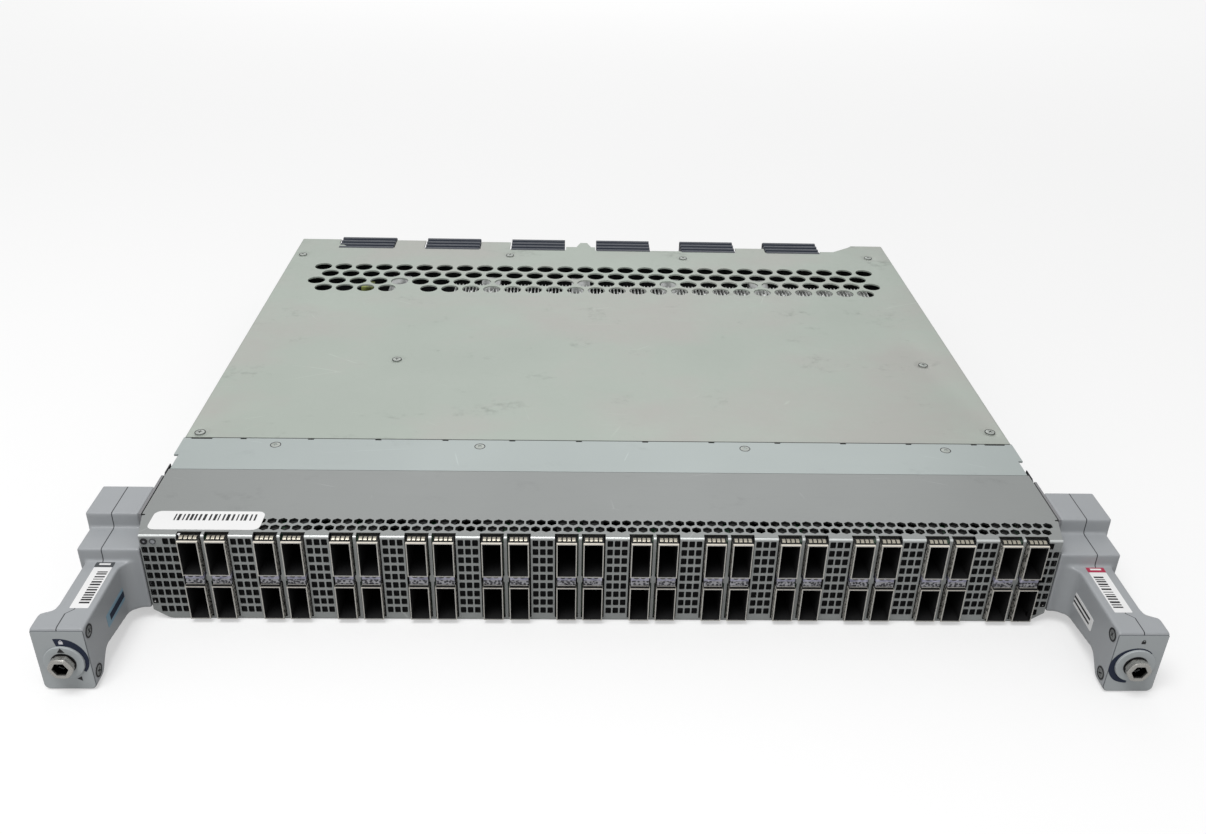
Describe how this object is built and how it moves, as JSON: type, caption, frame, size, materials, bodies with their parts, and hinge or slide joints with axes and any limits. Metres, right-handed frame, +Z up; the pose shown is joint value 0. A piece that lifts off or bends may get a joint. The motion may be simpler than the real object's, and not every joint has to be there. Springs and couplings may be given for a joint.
{
  "type": "switch line card",
  "caption": "Plug-in network line card: folded steel case with a punched faceplate full of stacked transceiver cages, moulded locking handles and rear connectors.",
  "frame": {"origin": "bottom centre of the whole card's bounding box, level with the underside of the tray", "axes": "+X along the faceplate to the right as seen from the front, +Y from the faceplate back to the rear connectors, +Z up through the cover"},
  "size_m": [0.4944, 0.446, 0.0494],
  "materials": {
    "tray_zinc": "zinc-plated sheet, fine grain",
    "faceplate_steel": "stainless sheet brushed across",
    "strip_zinc": "bright zinc-plated sheet",
    "cover_zinc": "pale zinc-plated sheet with handling marks",
    "cage_steel": "plated cage sheet with bright lips",
    "rail_steel": "plated sheet",
    "spring_dark": "dark spring strip",
    "hardware_steel": "plated screws and posts",
    "spindle_steel": "turned stainless steel",
    "handle_plastic": "fine satin grain",
    "dial_face": "smooth satin disc",
    "lamp_ring": "clear lens in a pale ring",
    "light_pipe": "milky moulded lens",
    "board_green": "lacquered circuit board",
    "module_black": "dark moulded package",
    "connector_navy": "moulded connector body",
    "guide_grey": "moulded guide block",
    "fin_aluminium": "bare pressed fins"
  },
  "bodies": {
    "card": {"bottom_tray": "tray_zinc", "front_bezel": "faceplate_steel", "cross_strip": "strip_zinc", "top_cover": "cover_zinc", "main_board": "board_green", "board_standoffs": "hardware_steel", "port_cages_01": "cage_steel", "port_riser_01": "board_green", "port_cages_02": "cage_steel", "port_riser_02": "board_green", "port_cages_03": "cage_steel", "port_riser_03": "board_green", "port_cages_04": "cage_steel", "port_riser_04": "board_green", "port_cages_05": "cage_steel", "port_riser_05": "board_green", "port_cages_06": "cage_steel", "port_riser_06": "board_green", "port_cages_07": "cage_steel", "port_riser_07": "board_green", "port_cages_08": "cage_steel", "port_riser_08": "board_green", "port_cages_09": "cage_steel", "port_riser_09": "board_green", "port_cages_10": "cage_steel", "port_riser_10": "board_green", "port_cages_11": "cage_steel", "port_riser_11": "board_green", "port_cages_12": "cage_steel", "port_riser_12": "board_green", "light_pipes": "light_pipe", "power_bricks": "module_black", "guide_blocks": "guide_grey", "backplane_connector_1": "connector_navy", "backplane_connector_2": "connector_navy", "backplane_connector_3": "connector_navy", "backplane_connector_4": "connector_navy", "backplane_connector_5": "connector_navy", "backplane_connector_6": "connector_navy", "cover_screws": "hardware_steel", "status_lamps": "lamp_ring", "handle_screws": "hardware_steel", "left_switch_chip": "module_black", "left_heat_sink": "fin_aluminium", "left_rail": "rail_steel", "left_spring": "spring_dark", "left_handle_inner": "handle_plastic", "left_handle_outer": "handle_plastic", "right_switch_chip": "module_black", "right_heat_sink": "fin_aluminium", "right_rail": "rail_steel", "right_spring": "spring_dark", "right_handle_inner": "handle_plastic", "right_handle_outer": "handle_plastic"},
    "left_lock": {"left_spindle": "spindle_steel", "left_dial": "dial_face", "left_lock_cam": "spindle_steel"},
    "right_lock": {"right_spindle": "spindle_steel", "right_dial": "dial_face", "right_lock_cam": "spindle_steel"}
  },
  "joints": [
    {"name": "left_lock_turn", "type": "hinge", "parent": "card", "child": "left_lock", "pos_m": [-0.2354, -0.19, 0.0163], "axis": [0, 1, 0], "range_deg": [0, 130]},
    {"name": "right_lock_turn", "type": "hinge", "parent": "card", "child": "right_lock", "pos_m": [0.2354, -0.19, 0.0163], "axis": [0, -1, 0], "range_deg": [0, 130]}
  ]
}
